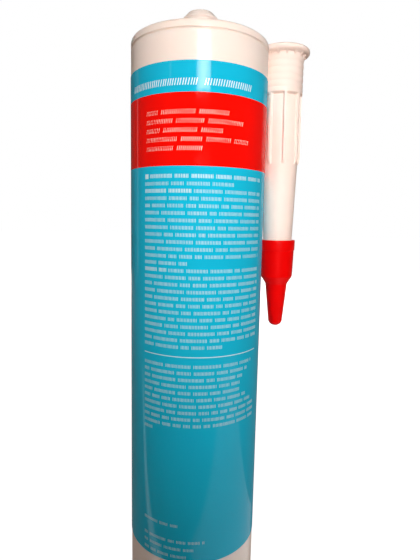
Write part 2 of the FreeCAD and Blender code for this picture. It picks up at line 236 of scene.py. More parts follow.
def noise(tree: NodeTree, place: NodeSocket, length_mm: float, detail: float,
          stretch: Triple = (1.0, 1.0, 1.0)) -> NodeSocket:
    """Adds a soft random pattern round 0.5 over a place in metres, drawn out along x, y and z."""
    scaled = add_node(tree, "VectorMath", {0: place, 1: tuple(1 / share for share in stretch)},
                      operation="MULTIPLY")
    field = add_node(tree, "TexNoise",
                     {"Vector": scaled.outputs[0], "Scale": 1 / (length_mm * MM), "Detail": detail})
    return field.outputs[0]


def make_material(finish: Finish) -> Material:
    """Builds the procedural material of a finish."""
    material = bpy.data.materials.new(finish.name)
    tree = empty_tree(material)
    place = add_node(tree, "TexCoord").outputs["Object"]
    drift = noise(tree, place, finish.drift_mm, DRIFT_DETAIL)
    patches = noise(tree, place, finish.grain_mm * GLOSS_PATCH, GRAIN_DETAIL)
    fine = noise(tree, place, finish.grain_mm, GRAIN_DETAIL)
    slow = noise(tree, place, finish.wave_mm, WAVE_DETAIL, finish.stretch)
    grain = add_node(tree, "Bump",
                     {"Height": fine, "Strength": 1.0, "Distance": finish.bump_mm * MM})
    waves = add_node(tree, "Bump",
                     {"Height": slow, "Strength": 1.0, "Distance": finish.wave_bump_mm * MM,
                      "Normal": grain.outputs[0]})
    shader = add_node(tree, "BsdfPrincipled", {
        "Base Color": mixed(tree, drift, finish.colour, finish.shade),
        "Roughness": mapped(tree, patches, PATTERN_SPAN, finish.roughness),
        "Normal": waves.outputs[0],
        "IOR": PLASTIC_IOR,
        "Specular IOR Level": finish.reflection,
        "Coat Weight": finish.coat,
        "Coat Roughness": finish.coat_roughness,
        "Subsurface Weight": finish.subsurface,
        "Subsurface Radius": finish.scatter_mm,
        "Subsurface Scale": MM,
    })
    add_node(tree, "OutputMaterial", {"Surface": shader.outputs[0]})
    return material


# Mesh building
class Corner(NamedTuple):
    """A corner of a turned outline: radius, height and the radius of its rounding, in mm."""

    radius: float
    height: float
    rounding: float = 0.0


# Points on a rounding, and the most of an edge that one rounding takes
ARC_STEPS = 5
LONGEST_CUT = 0.49
# Faces that meet more steeply than this keep a sharp edge
SMOOTH_ANGLE = math.radians(32)
# Radius of the small circle that closes a turned surface on its axis, in mm
POLE_RADIUS = 0.01
# Roundings that a mould leaves on its edges, in mm
CRISP_EDGE = 0.1
SOFT_EDGE = 0.3
ROUND_EDGE = 0.5
WIDE_EDGE = 0.8


def rounded_outline(corners: Sequence[Corner]) -> np.ndarray:
    """Rounds the corners of an open outline with tangent arcs.

    Args:
        corners: the corners in order; the first and the last stay sharp.

    Returns:
        Points of the outline, one row (radius, height) each, in mm.
    """
    points = []
    for index, corner in enumerate(corners):
        here = np.array(corner[:2], float)
        if corner.rounding <= 0 or index in (0, len(corners) - 1):
            points.append(here)
            continue
        before = np.array(corners[index - 1][:2], float) - here
        after = np.array(corners[index + 1][:2], float) - here
        before_length, after_length = np.linalg.norm(before), np.linalg.norm(after)
        before, after = before / before_length, after / after_length
        half = math.acos(float(np.clip(before @ after, -1, 1))) / 2
        longest = LONGEST_CUT * min(before_length, after_length)
        cut = min(corner.rounding / math.tan(half), longest)
        radius = cut * math.tan(half)
        bisector = before + after
        centre = here + bisector / np.linalg.norm(bisector) * radius / math.sin(half)
        start, end = here + before * cut - centre, here + after * cut - centre
        sweep = math.pi - 2 * half
        for step in np.linspace(0, 1, ARC_STEPS):
            from_start, from_end = math.sin((1 - step) * sweep), math.sin(step * sweep)
            points.append(centre + (start * from_start + end * from_end) / math.sin(sweep))
    return np.array(points)


def subdivided(outline: np.ndarray, longest_mm: float) -> np.ndarray:
    """Adds points along an outline, so that no step is longer than the limit."""
    rows = [outline[:1]]
    for start, end in zip(outline[:-1], outline[1:]):
        steps = max(1, math.ceil(float(np.linalg.norm(end - start)) / longest_mm))
        share = np.arange(1, steps + 1)[:, None] / steps
        rows.append(start + (end - start) * share)
    return np.vstack(rows)


def even_angles(columns: int) -> np.ndarray:
    """Evenly spaced angles over one turn, in radians."""
    return np.linspace(0, math.tau, columns, endpoint=False)


def turned_grid(radius: np.ndarray, heights: np.ndarray, angles: np.ndarray) -> np.ndarray:
    """Turns radii about Z: the point in a height's row and an angle's column is (r cos a, r sin a, z).

    The radii have a row for each height, and a column for each angle or one for all. Lengths are in mm
    and angles in radians.
    """
    x, y = radius * np.cos(angles), radius * np.sin(angles)
    return np.stack([x, y, np.broadcast_to(heights[:, None], x.shape)], axis=-1)


def linked(name: str, data: ID) -> Object:
    """Makes an object from its data and links it to the scene."""
    made = bpy.data.objects.new(name, data)
    bpy.context.collection.objects.link(made)
    return made


def grid_object(name: str, grid: np.ndarray, wrap_rows: bool) -> Object:
    """Makes a closed mesh from a grid that is closed round its columns.

    Args:
        name: the piece's name.
        grid: points in mm, rows by columns, the outside's rows going up.
        wrap_rows: True joins the last row to the first; False closes both ends with a pole.

    Returns:
        The object, its mesh in metres.
    """
    rows, columns = grid.shape[:2]
    vertices = grid.reshape(-1, 3)
    index = np.arange(rows * columns).reshape(rows, columns)
    if wrap_rows:
        index = np.vstack([index, index[:1]])
    low, high = index[:-1], index[1:]
    quads = np.stack([low, np.roll(low, -1, 1), np.roll(high, -1, 1), high], axis=-1).reshape(-1, 4)
    faces = quads.tolist()
    if not wrap_rows:
        vertices = np.vstack([vertices, grid[0].mean(axis=0), grid[-1].mean(axis=0)])
        start, end = rows * columns, rows * columns + 1
        first, last = index[0], index[-1]
        faces += [[start, int(b), int(a)] for a, b in zip(first, np.roll(first, -1))]
        faces += [[end, int(a), int(b)] for a, b in zip(last, np.roll(last, -1))]
    return mesh_object(name, vertices, faces)


def mesh_object(name: str, vertices: np.ndarray, faces: list[list[int]]) -> Object:
    """Makes a smooth-shaded object from points in mm and the vertex numbers of each face."""
    mesh = bpy.data.meshes.new(name)
    mesh.from_pydata((vertices * MM).tolist(), [], faces)
    mesh.validate()
    mesh.polygons.foreach_set("use_smooth", np.ones(len(mesh.polygons), bool))
    mesh.set_sharp_from_angle(angle=SMOOTH_ANGLE)
    mesh.update()
    return linked(name, mesh)


def publish(piece: Object, material: Material, body: Body, slot: Slot, *nodes: str) -> None:
    """Gives a piece its material and the body that it rides on, and hides the CAD nodes it stands for."""
    piece.data.materials.clear()
    piece.data.materials.append(material)
    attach(piece, body.value)
    if nodes:
        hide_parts(*nodes)
    LOG.info("%s: %d faces, rides on %s", piece.name, len(piece.data.polygons), body.value)


# Barrel and sealant
@dataclass(frozen=True)
class BarrelSize:
    """Sizes of the barrel and its threaded neck, in mm."""

    radius: float = 24.85
    bore: float = 23.25
    length: float = 215.0
    head: float = 2.0
    shoulder_round: float = 1.5
    rim_round: float = 0.5
    lead_in: float = 0.6
    groove_drop: float = 3.2
    groove_width: float = 1.1
    groove_depth: float = 0.6
    groove_points: int = 9
    root_radius: float = 7.8
    root_height: float = 2.0
    neck_radius: float = 6.2
    neck_bore: float = 4.8
    lip_radius: float = 6.9
    lip_height: float = 0.6
    cone_z: float = 223.25
    tip_radius: float = 4.6
    tip_z: float = 225.7
    inner_tip_radius: float = 3.1
    inner_tip_z: float = 224.4
    longest_step: float = 12.0
    columns: int = 224


@dataclass(frozen=True)
class ThreadSize:
    """Sizes of the helical thread on the neck, in mm."""

    pitch: float = 2.5
    depth: float = 0.7
    root_width: float = 1.5
    crest_width: float = 0.7
    end_margin: float = 0.3
    row_step: float = 0.12
    fade_turns: float = 0.04


@dataclass(frozen=True)
class Barrel:
    """The barrel, blown in one piece with its head, groove and threaded neck.

    A point counts as on the neck's outside when it lies within neck_slack of the neck's radius, in mm.
    """

    size: BarrelSize
    thread: ThreadSize
    neck_slack: float = 0.02

    def outline(self) -> np.ndarray:
        """The outline from the inner pole down the inside, round the rim and up to the neck's tip.

        The groove is half an ellipse: its radius is r - depth x sin t, and its height runs with cos t.

        Returns:
            Points (radius, height), in mm.
        """
        size = self.size
        groove_z = size.length - size.groove_drop
        inside = rounded_outline([
            Corner(POLE_RADIUS, size.inner_tip_z),
            Corner(size.inner_tip_radius, size.inner_tip_z, SOFT_EDGE),
            Corner(size.neck_bore, size.cone_z, SOFT_EDGE),
            Corner(size.neck_bore, size.length - size.head, ROUND_EDGE),
            Corner(size.bore, size.length - size.head, WIDE_EDGE),
            Corner(size.bore, size.lead_in, CRISP_EDGE),
            Corner(size.bore + size.lead_in, 0.0, CRISP_EDGE),
            Corner(size.radius, 0.0, size.rim_round),
            Corner(size.radius, groove_z - size.groove_width / 2),
        ])
        turn = np.linspace(0, math.pi, size.groove_points)[1:]
        groove = np.stack([size.radius - size.groove_depth * np.sin(turn),
                           groove_z - size.groove_width / 2 * np.cos(turn)], axis=-1)
        outside = rounded_outline([
            Corner(size.radius, groove_z + size.groove_width / 2),
            Corner(size.radius, size.length, size.shoulder_round),
            Corner(size.root_radius, size.length, SOFT_EDGE),
            Corner(size.root_radius, size.length + size.root_height, SOFT_EDGE),
            Corner(size.neck_radius, size.length + size.root_height, CRISP_EDGE),
            Corner(size.neck_radius, size.cone_z - size.lip_height, CRISP_EDGE),
            Corner(size.lip_radius, size.cone_z, CRISP_EDGE),
            Corner(size.tip_radius, size.tip_z, CRISP_EDGE),
            Corner(POLE_RADIUS, size.tip_z),
        ])
        return np.vstack([inside, groove, outside[1:]])

    def on_neck(self, outline: np.ndarray) -> np.ndarray:
        """Numbers of the outline's points that lie on the neck's straight outside."""
        size = self.size
        radius, height = outline[:, 0], outline[:, 1]
        between = (height > size.length + size.root_height) & (height < size.cone_z)
        return np.nonzero(between & (np.abs(radius - size.neck_radius) < self.neck_slack))[0]

    def thread_height(self, angles: np.ndarray, heights: np.ndarray) -> np.ndarray:
        """Height of the ridge over the neck: depth x clip((w/2 - |z - pitch t|) / flank), t in turns.

        Args:
            angles: angles round the neck, one a column.
            heights: heights, one a row.

        Returns:
            Ridge height, rows by columns, in mm.
        """
        size, thread = self.size, self.thread
        start = size.length + size.root_height + thread.end_margin + thread.root_width / 2
        rise = size.cone_z - size.lip_height - thread.end_margin - thread.root_width / 2 - start
        turns = rise / thread.pitch
        flank = (thread.root_width - thread.crest_width) / 2
        ridge = np.zeros((len(heights), len(angles)))
        for lap in range(math.ceil(turns) + 1):
            turn = np.mod(angles, math.tau) / math.tau + lap
            fade = np.clip(np.minimum(turn, turns - turn) / thread.fade_turns, 0, 1)
            off = np.abs(heights[:, None] - start - thread.pitch * turn)
            share = np.clip((thread.root_width / 2 - off) / flank, 0, 1)
            ridge = np.maximum(ridge, thread.depth * fade * share)
        return ridge

    def build(self, material: Material) -> None:
        """Builds the barrel."""
        size = self.size
        outline = self.outline()
        split = int(self.on_neck(outline)[0]) + 1
        outline = np.vstack([
            subdivided(outline[:split], size.longest_step),
            subdivided(outline[split - 1:split + 1], self.thread.row_step)[1:],
            outline[split + 1:],
        ])
        angles = even_angles(size.columns)
        radius = np.tile(outline[:, :1], (1, size.columns))
        rows = self.on_neck(outline)
        radius[rows] += self.thread_height(angles, outline[rows, 1])
        piece = grid_object("barrel_shell", turned_grid(radius, outline[:, 1], angles), wrap_rows=False)
        publish(piece, material, Body.CARTRIDGE, Slot.BARREL, "barrel")


@dataclass(frozen=True)
class SealantSize:
    """Sizes of the sealant's fill and of how far the piston squeezes it, in mm."""

    gap: float = 0.05
    apex_z: float = 32.3
    front_z: float = 30.3
    front_radius: float = 22.57
    fixed_z: float = 213.0
    squeezed_mm: float = 0.705
    longest_step: float = 10.0
    columns: int = 128


@dataclass(frozen=True)
class Sealant:
    """The paste between the piston and the neck's closed tip."""

    size: SealantSize
    barrel: BarrelSize

    def build(self, material: Material) -> None:
        """Builds the fill and gives it a mesh of its own."""
        size, barrel = self.size, self.barrel
        outline = rounded_outline([
            Corner(POLE_RADIUS, size.apex_z),
            Corner(size.front_radius, size.front_z, ROUND_EDGE),
            Corner(barrel.bore - size.gap, size.front_z, SOFT_EDGE),
            Corner(barrel.bore - size.gap, size.fixed_z - size.gap, WIDE_EDGE),
            Corner(barrel.neck_bore - size.gap, size.fixed_z - size.gap, ROUND_EDGE),
            Corner(barrel.neck_bore - size.gap, barrel.cone_z - size.gap, SOFT_EDGE),
            Corner(barrel.inner_tip_radius - size.gap, barrel.inner_tip_z - size.gap, SOFT_EDGE),
            Corner(POLE_RADIUS, barrel.inner_tip_z - size.gap),
        ])
        outline = subdivided(outline, size.longest_step)
        grid = turned_grid(outline[:, :1], outline[:, 1], even_angles(size.columns))
        piece = grid_object("sealant_fill", grid, wrap_rows=False)
        publish(piece, material, Body.CARTRIDGE, Slot.SEALANT, "sealant")
        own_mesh(piece)


# Label and print
@dataclass(frozen=True)
class LabelSize:
    """Sizes of the wrapped film, in mm, and of its seam and overlap, in degrees round the barrel."""

    radius: float = 25.0
    inner_radius: float = 24.88
    bottom: float = 28.1
    top: float = 202.3
    edge_round: float = 0.04
    seam_angle: float = 118.0
    overlap_angle: float = 20.0
    overlap_height: float = 0.09
    overlap_fall: float = 6.0
    seam_edge_angle: float = 0.25
    columns: int = 240


class Field(NamedTuple):
    """A printed field: left and right on the label, low and high edge, and lean (mm a mm)."""

    left: float
    right: float
    low: float
    high: float
    lean: float = 0.0


@dataclass(frozen=True)
class StrokeStyle:
    """How a hatched bar stands for a line of print: equal strokes in groups.

    Lengths are in mm: a stroke's height and width, the pitch from stroke to stroke and the gap between
    groups. A group has from the least to the most strokes, and they lean sideways by lean mm a mm.
    """

    height: float
    stroke: float
    pitch: float
    gap: float
    group: tuple[int, int]
    lean: float = 0.0


SMALL_PRINT = StrokeStyle(1.15, 0.17, 0.5, 0.8, (5, 20))
SMALL_BOLD = StrokeStyle(1.25, 0.27, 0.52, 0.8, (8, 20))
FOOT_PRINT = StrokeStyle(1.1, 0.17, 0.5, 0.8, (4, 14))
BAND_PRINT = StrokeStyle(1.35, 0.21, 0.66, 1.1, (8, 20), lean=0.2)
HEADLINE = StrokeStyle(2.1, 0.3, 0.86, 2.0, (40, 40), lean=0.22)
# Least and most share of the pitch from one stroke to the next
PITCH_SHARE = (0.88, 1.12)


class PrintPlan:
    """Where the print stands on the label, in mm.

    Heights count from the barrel's foot, and widths from the front's centre towards +X. A row is a
    baseline and the line's right edge. Lines of the upper block are counted from its top, from 0.
    """

    red_band = (169.8, 192.7)
    headline_base = 194.8
    headline_words = ((-27.5, -0.6), (1.6, 19.1))
    band_left = -19.2
    band_rows = ((186.1, 10.3), (183.25, 15.4), (180.4, 7.8), (177.55, 18.3), (174.7, 1.3))
    block_left = -19.85
    block_right = 26.7
    upper_span = (166.54, 109.12)
    upper_count = 25
    upper_bold_ends = {0: block_right, 2: -2.0, 13: -10.5}
    upper_short_ends = {1: 12.5, 12: -3.0, 24: 9.5}
    bullet = 1.6
    bullet_indent = 2.4
    rule = Field(-20.0, 26.4, 105.55, 105.85)
    lower_span = (102.3, 78.4)
    lower_ends = (23.8, 21.3, 18.8, 17.9, 18.5, 21.0, 23.7, 26.5, 26.7, 26.4, -15.9)
    foot_left = -19.8
    foot_rows = ((41.8, -5.5), (35.6, 4.7), (32.7, 0.7), (29.8, -2.0))


def stroke_line(rng: np.random.Generator, style: StrokeStyle, left: float, right: float,
                baseline: float) -> list[Field]:
    """Lays equal strokes in groups along one printed line.

    Args:
        rng: the seeded random generator.
        style: how the line looks.
        left: where the line starts, in mm.
        right: where it ends.
        baseline: the height of its foot.

    Returns:
        One field a stroke.
    """
    fields = []
    place = left
    remaining = int(rng.integers(style.group[0], style.group[1] + 1))
    while place + style.stroke <= right:
        fields.append(Field(place, place + style.stroke, baseline, baseline + style.height, style.lean))
        remaining -= 1
        place += style.pitch * float(rng.uniform(*PITCH_SHARE))
        if remaining == 0:
            place += style.gap
            remaining = int(rng.integers(style.group[0], style.group[1] + 1))
    return fields


class Label:
    """The wrapped film and everything printed on it."""

    ink_low = -0.004
    ink_high = 0.014
    ink_round = 0.005
    longest_chord = 0.9
    front_angle = -90.0

    def __init__(self, size: LabelSize) -> None:
        self.size = size
        self.rng = np.random.default_rng(PRINT_SEED)

    def film_radius(self, angles: np.ndarray) -> np.ndarray:
        """Outer radius of the film: r + h x clip(p / edge) x clip((overlap - p) / fall), p past the seam.

        Angles are in degrees.
        """
        size = self.size
        past = np.mod(angles - size.seam_angle, FULL_TURN)
        rise = np.clip(past / size.seam_edge_angle, 0, 1)
        fall = np.clip((size.overlap_angle - past) / size.overlap_fall, 0, 1)
        return size.radius + size.overlap_height * rise * fall

    def columns(self) -> np.ndarray:
        """Rising angles of the film's columns, in degrees, close together at the seam's edge."""
        size = self.size
        even = np.arange(size.columns) * FULL_TURN / size.columns
        seam = size.seam_angle + size.seam_edge_angle * np.array([0.0, 0.5, 1.0])
        keep = even[np.min(np.abs(even[:, None] - seam), axis=1) > size.seam_edge_angle]
        return np.sort(np.concatenate([keep, seam]))

    def ring(self, name: str, inner: np.ndarray, outer: np.ndarray, edges: Pair,
             rounding: float) -> Object:
        """Makes a closed ring of film or ink from its radii at each column and its low and high edge."""
        low, high = edges
        radii = np.stack([inner, outer - rounding, outer, outer, outer, outer - rounding, inner])
        heights = np.array([low, low, low + rounding, (low + high) / 2, high - rounding, high, high])
        return grid_object(name, turned_grid(radii, heights, np.radians(self.columns())), wrap_rows=True)

    def ink(self, name: str, fields: Sequence[Field]) -> Object:
        """Makes thin closed slabs that follow the film, one a field.

        Args:
            name: the piece's name.
            fields: where the ink is.

        Returns:
            The ink's object.
        """
        radius = self.size.radius
        depth = np.array([self.ink_low, self.ink_high, self.ink_high, self.ink_low])
        sides = ((0, 1), (1, 2), (2, 3), (3, 0))
        blocks, faces, offset = [], [], 0
        for field in fields:
            steps = max(1, math.ceil((field.right - field.left) / self.longest_chord))
            across = np.linspace(field.left, field.right, steps + 1)[:, None]
            heights = np.array([field.low, field.low, field.high, field.high])
            turn = (across + field.lean * (heights - field.low)) / radius
            around = self.film_radius(np.degrees(turn) + self.front_angle) + depth
            blocks.append(np.stack([around * np.sin(turn), -around * np.cos(turn),
                                    np.broadcast_to(heights, turn.shape)], axis=-1).reshape(-1, 3))
            for step in range(steps):
                near, far = offset + len(sides) * step, offset + len(sides) * (step + 1)
                faces += [[near + a, far + a, far + b, near + b] for a, b in sides]
            last = offset + len(sides) * steps
            faces += [[offset, offset + 1, offset + 2, offset + 3], [last + 3, last + 2, last + 1, last]]
            offset = last + len(sides)
        return mesh_object(name, np.vstack(blocks), faces)

    def lines(self, style: StrokeStyle, left: float, rows: Sequence[Pair]) -> list[Field]:
        """The fields of several printed lines with the same left edge."""
        return [field for baseline, right in rows
                for field in stroke_line(self.rng, style, left, right, baseline)]

    def build(self, film: Material, red: Material, white: Material, pale: Material,
              pink: Material) -> None:
        """Builds the film, its red band and the print: white above the band, pink on it, pale below."""
        size, plan = self.size, PrintPlan
        outer = self.film_radius(self.columns())
        inner = np.full_like(outer, size.inner_radius)
        ring = self.ring("label_film", inner, outer, (size.bottom, size.top), size.edge_round)
        publish(ring, film, Body.CARTRIDGE, Slot.FILM, "label")
        low, high = outer + self.ink_low, outer + self.ink_high
        band = self.ring("print_red_band", low, high, plan.red_band, self.ink_round)
        publish(band, red, Body.CARTRIDGE, Slot.FILM)
        headline = [field for left, right in plan.headline_words
                    for field in stroke_line(self.rng, HEADLINE, left, right, plan.headline_base)]
        prints = (
            ("print_headline", white, headline),
            ("print_band_lines", pink, self.lines(BAND_PRINT, plan.band_left, plan.band_rows)),
            ("print_upper_lines", pale, self.upper_block()),
            ("print_lower_lines", pale, self.lower_block()),
            ("print_rule", pale, [plan.rule]),
            ("print_foot_lines", pale, self.lines(FOOT_PRINT, plan.foot_left, plan.foot_rows)),
        )
        for name, ink, fields in prints:
            publish(self.ink(name, fields), ink, Body.CARTRIDGE, Slot.FILM)

    def upper_block(self) -> list[Field]:
        """The fields above the rule: lines, three of them with a bolder start, and a bullet."""
        plan = PrintPlan
        left, top = plan.block_left, plan.upper_span[0]
        fields = []
        for row, centre in enumerate(np.linspace(*plan.upper_span, plan.upper_count)):
            baseline = float(centre) - SMALL_PRINT.height / 2
            start, end = left, plan.upper_short_ends.get(row, plan.block_right)
            if row in plan.upper_bold_ends:
                start += plan.bullet_indent if row == 0 else 0.0
                bold_end = plan.upper_bold_ends[row]
                fields += stroke_line(self.rng, SMALL_BOLD, start, min(bold_end, end), baseline)
                start = bold_end + SMALL_PRINT.gap
            fields += stroke_line(self.rng, SMALL_PRINT, start, end, baseline)
        fields.append(Field(left, left + plan.bullet, top - plan.bullet / 2, top + plan.bullet / 2))
        return fields

    def lower_block(self) -> list[Field]:
        """The fields of the lines below the rule."""
        plan = PrintPlan
        centres = np.linspace(*plan.lower_span, len(plan.lower_ends))
        rows = [(float(centre) - SMALL_PRINT.height / 2, end)
                for centre, end in zip(centres, plan.lower_ends)]
        return self.lines(SMALL_PRINT, plan.block_left, rows)


# Nozzle and cap
class StoredFrame:
    """The stored nozzle's own frame: height 0 at the flange's top, the tip below it.

    Its axis is the cap joint's axis, and its place is the record's socket mount.
    """

    socket_middle_mm = 6.5
    least_cosine = 0.999999

    def __init__(self, record: dict[str, Any]) -> None:
        joint = next(row for row in record["behaviour"]["joints"] if row["name"] == "cap_pull")
        mount = next(row for row in record["mounts"] if row["name"] == "nozzle_socket")
        self.along = np.array(joint["axis"], float)
        self.along /= np.linalg.norm(self.along)
        self.start = np.array(mount["pos_m"], float) / MM - self.along * self.socket_middle_mm
        up, lean_axis = np.array([0.0, 0.0, 1.0]), np.cross(self.along, [0.0, 0.0, 1.0])
        angle = math.asin(float(np.linalg.norm(lean_axis)))
        self.turn = np.array(Matrix.Rotation(angle, 3, Vector(lean_axis)))
        if float((self.turn @ -up) @ self.along) < self.least_cosine:
            raise ValueError("the stored nozzle's frame doesn't follow its axis")

    def place(self, grid: np.ndarray) -> np.ndarray:
        """Moves points, in mm, from the nozzle's frame to the row's frame."""
        return grid @ self.turn.T + self.start


@dataclass(frozen=True)
class NozzleSize:
    """Sizes of the nozzle along its axis, measured from the flange's top, in mm."""

    flange_radius: float = 10.4
    flange_thickness: float = 2.2
    flange_round: float = 1.0
    collar_radius: float = 8.25
    collar_taper: float = 0.04
    collar_end: float = 16.5
    collar_bevel: float = 0.6
    collar_relief: float = 0.45
    ring_count: int = 5
    ring_pitch: float = 2.4
    ring_depth: float = 0.24
    ring_start: float = 2.8
    ring_rows: int = 9
    gusset_reach: float = 1.0
    gusset_height: float = 1.2
    gusset_half_angle: Pair = (2.45, 2.9)
    fin_radius: float = 8.0
    fin_end: float = 43.0
    fin_drop: float = 3.0
    fin_half_angle: Pair = (3.4, 6.4)
    fin_azimuth: float = -88.0
    fin_count: int = 8
    plain_angles: Triple = (8.0, 12.0, 16.0)
    cone_radius: float = 6.95
    cone_taper: float = 0.0404
    cone_end: float = 86.5
    tip_start: float = 88.3
    tip_base: float = 3.2
    tip_end: float = 104.5
    tip_radius: float = 1.9
    wall: float = 1.1
    tip_wall: float = 1.0
    mouth_depth: float = 0.5
    socket_radius: float = 7.1
    socket_length: float = 13.0
    outside_step: float = 0.9
    bore_step: float = 8.0

    def cone_at(self, distance: float) -> float:
        """Outer radius of the cone at a distance below the flange's top."""
        return self.cone_radius - self.cone_taper * (distance - self.fin_end)


# Power that draws a ridge in towards its middle, so that its foot is soft
FOOT_POWER = 1.5


def ridge_share(offset: np.ndarray, half_angle: Pair) -> np.ndarray:
    """Share of a ridge's height: clip((root - |offset|) / (root - crest)) ^ 1.5, soft at its foot.

    All are in degrees; half_angle holds half the crest's and half the root's width.
    """
    crest, root = half_angle
    share = np.clip((root - np.abs(offset)) / (root - crest), 0, 1)
    return share ** FOOT_POWER


@dataclass(frozen=True)
class Nozzle:
    """The nozzle, moulded in one piece: flange, ringed collar, fins, cone and fine tip."""

    size: NozzleSize
    stored: StoredFrame

    def columns(self) -> np.ndarray:
        """Rising angles of the columns, in degrees, close together at the edges of fins and gussets."""
        size = self.size
        sector = FULL_TURN / size.fin_count
        crest, root = size.fin_half_angle
        low, high = size.gusset_half_angle
        edges = [low, high, crest, (crest + root) / 2, root]
        half = [0.0, *edges, *size.plain_angles, sector / 2 - high, sector / 2 - low, sector / 2]
        offsets = np.array(half + [sector - value for value in half[1:-1]])
        starts = size.fin_azimuth + sector * np.arange(size.fin_count)
        return np.sort((starts[:, None] + np.sort(offsets)).ravel())

    def outside(self) -> np.ndarray:
        """The turned outside, from the flange's top edge down to the tip.

        A ring bulges by depth x (1 - (2 t - 1)^2), where t runs from 0 to 1 over its pitch.

        Returns:
            Points (radius, distance below the flange's top), in mm.
        """
        size = self.size
        valley = size.collar_radius - size.ring_depth
        flange = rounded_outline([
            Corner(size.socket_radius, 0.0),
            Corner(size.flange_radius, 0.0, size.flange_round),
            Corner(size.flange_radius, size.flange_thickness, size.flange_round),
            Corner(valley, size.flange_thickness, SOFT_EDGE),
            Corner(valley, size.ring_start),
        ])
        along = np.linspace(0, size.ring_count, size.ring_count * size.ring_rows + 1)[1:]
        bulge = 1 - (2 * np.mod(along, 1.0) - 1) ** 2
        rings = np.stack([valley - size.collar_taper * along + size.ring_depth * bulge,
                          size.ring_start + size.ring_pitch * along], axis=-1)
        end_radius, rings_end = size.collar_radius - size.collar_taper * size.ring_count, rings[-1, 1]
        low = rounded_outline([
            Corner(end_radius - size.ring_depth, rings_end),
            Corner(end_radius, rings_end + CRISP_EDGE / 2, CRISP_EDGE / 2),
            Corner(end_radius, size.collar_end, CRISP_EDGE),
            Corner(size.cone_radius - size.collar_relief, size.collar_end + size.collar_bevel, CRISP_EDGE),
            Corner(size.cone_radius, size.collar_end + 2 * size.collar_bevel, SOFT_EDGE),
            Corner(size.cone_radius, size.fin_end, ROUND_EDGE),
            Corner(size.cone_at(size.cone_end), size.cone_end, ROUND_EDGE),
            Corner(size.tip_base, size.tip_start, ROUND_EDGE),
            Corner(size.tip_radius, size.tip_end, SOFT_EDGE),
            Corner(size.tip_radius - size.tip_wall, size.tip_end, SOFT_EDGE),
            Corner(size.tip_radius - size.tip_wall, size.tip_end - size.mouth_depth),
        ])
        return np.vstack([flange, rings, low[1:]])

    def inside(self) -> np.ndarray:
        """The bore's points (radius, distance below the flange's top), from the tip to the socket."""
        size = self.size
        return rounded_outline([
            Corner(size.tip_radius - size.tip_wall, size.tip_end - size.mouth_depth),
            Corner(size.tip_base - size.wall, size.tip_start, ROUND_EDGE),
            Corner(size.cone_at(size.cone_end) - size.wall, size.cone_end, ROUND_EDGE),
            Corner(size.cone_radius - size.wall, size.collar_end, ROUND_EDGE),
            Corner(size.socket_radius, size.socket_length, ROUND_EDGE),
            Corner(size.socket_radius, SOFT_EDGE),
            Corner(size.socket_radius, 0.0),
        ])[1:-1]

    def ridges(self, angles: np.ndarray, outline: np.ndarray) -> np.ndarray:
        """Radius with gussets and fins: max(turned radius, radius + share x (ridge - radius)).

        A fin falls off at its end as a quarter ellipse, and a gusset falls off in a straight line.

        Args:
            angles: column angles, in degrees.
            outline: the outside's points (radius, distance).

        Returns:
            Radius, rows by columns, in mm.
        """
        size = self.size
        radius, along = outline[:, :1], outline[:, 1:2]
        sector = FULL_TURN / size.fin_count
        to_fin = np.mod(angles - size.fin_azimuth + sector / 2, sector) - sector / 2
        to_gusset = np.mod(angles - size.fin_azimuth + sector / 4, sector / 2) - sector / 4
        past = np.clip((along - (size.fin_end - size.fin_drop)) / size.fin_drop, 0, 1)
        fin = size.cone_radius + (size.fin_radius - size.cone_radius) * np.sqrt(1 - past ** 2)
        fin = np.where((along >= size.collar_end) & (along <= size.fin_end), fin, 0.0)
        drop = (along - size.flange_thickness) / size.gusset_height
        gusset = size.collar_radius + size.gusset_reach - drop * (size.gusset_reach + size.ring_depth)
        gusset = np.where((drop >= 0) & (drop <= 1), gusset, 0.0)
        with_fin = radius + ridge_share(to_fin, size.fin_half_angle) * np.maximum(fin - radius, 0)
        share = ridge_share(to_gusset, size.gusset_half_angle)
        return np.maximum(with_fin, radius + share * np.maximum(gusset - radius, 0))

    def build(self, material: Material) -> None:
        """Builds the nozzle at its storage place."""
        degrees = self.columns()
        outside = subdivided(self.outside(), self.size.outside_step)
        inside = subdivided(self.inside(), self.size.bore_step)
        radius = np.vstack([self.ridges(degrees, outside),
                            np.broadcast_to(inside[:, :1], (len(inside), len(degrees)))])
        along = np.concatenate([outside[:, 1], inside[:, 1]])
        grid = turned_grid(radius, -along, np.radians(degrees))[::-1]
        piece = grid_object("nozzle_shell", self.stored.place(grid), wrap_rows=True)
        publish(piece, material, Body.CARTRIDGE, Slot.NOZZLE, "nozzle")


@dataclass(frozen=True)
class CapSize:
    """Sizes of the push-fit cap along the nozzle's axis, in mm."""

    start: float = 72.7
    clearance: float = 0.08
    wall: float = 1.27
    band_length: float = 4.0
    band_taper: float = 0.1
    band_step: float = 0.22
    skirt_length: float = 14.8
    skirt_taper: float = 0.039
    chamfer_length: float = 3.1
    spout_wall: float = 1.22
    tip_wall: float = 0.95
    end_clearance: float = 0.3
    end_thickness: float = 3.4
    dome_length: float = 2.5
    dome_flat: float = 0.3
    dome_points: int = 9
    longest_step: float = 1.5
    columns: int = 128


